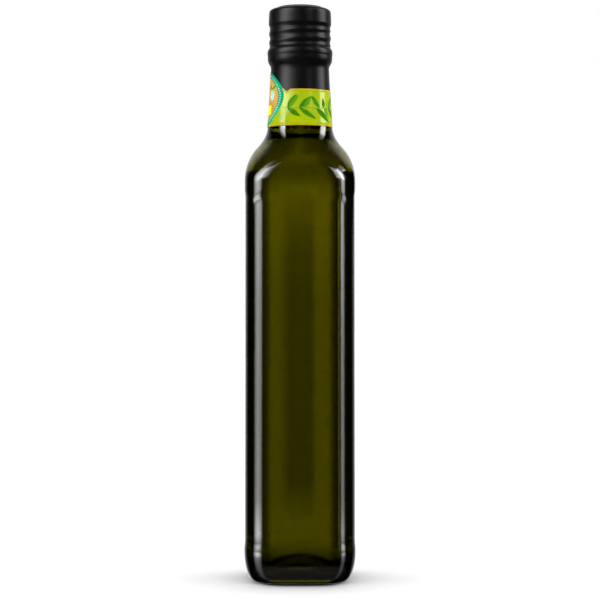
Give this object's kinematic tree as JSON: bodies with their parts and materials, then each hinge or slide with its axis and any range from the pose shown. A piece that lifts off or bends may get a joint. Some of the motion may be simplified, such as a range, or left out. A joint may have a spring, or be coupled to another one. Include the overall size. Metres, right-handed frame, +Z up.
{
  "type": "olive oil bottle",
  "caption": "Slim square dark green glass bottle full of olive oil, with a round neck, a black screw cap in a matt capsule and a neck label with a round medallion.",
  "frame": {"origin": "middle of the base, on the surface that the bottle stands on", "axes": "+Z up along the bottle's axis; the four flat faces look along X and Y; the label's medallion faces -X"},
  "size_m": [0.0554, 0.0554, 0.288],
  "materials": {
    "green_glass": "polished, dark olive green",
    "olive_oil": "clear golden green liquid",
    "capsule": "black, satin",
    "label": "printed, semi-gloss"
  },
  "bodies": {
    "root": {"bottle": "green_glass", "oil": "olive_oil", "cap": "capsule", "neck_label": "label"}
  },
  "joints": []
}
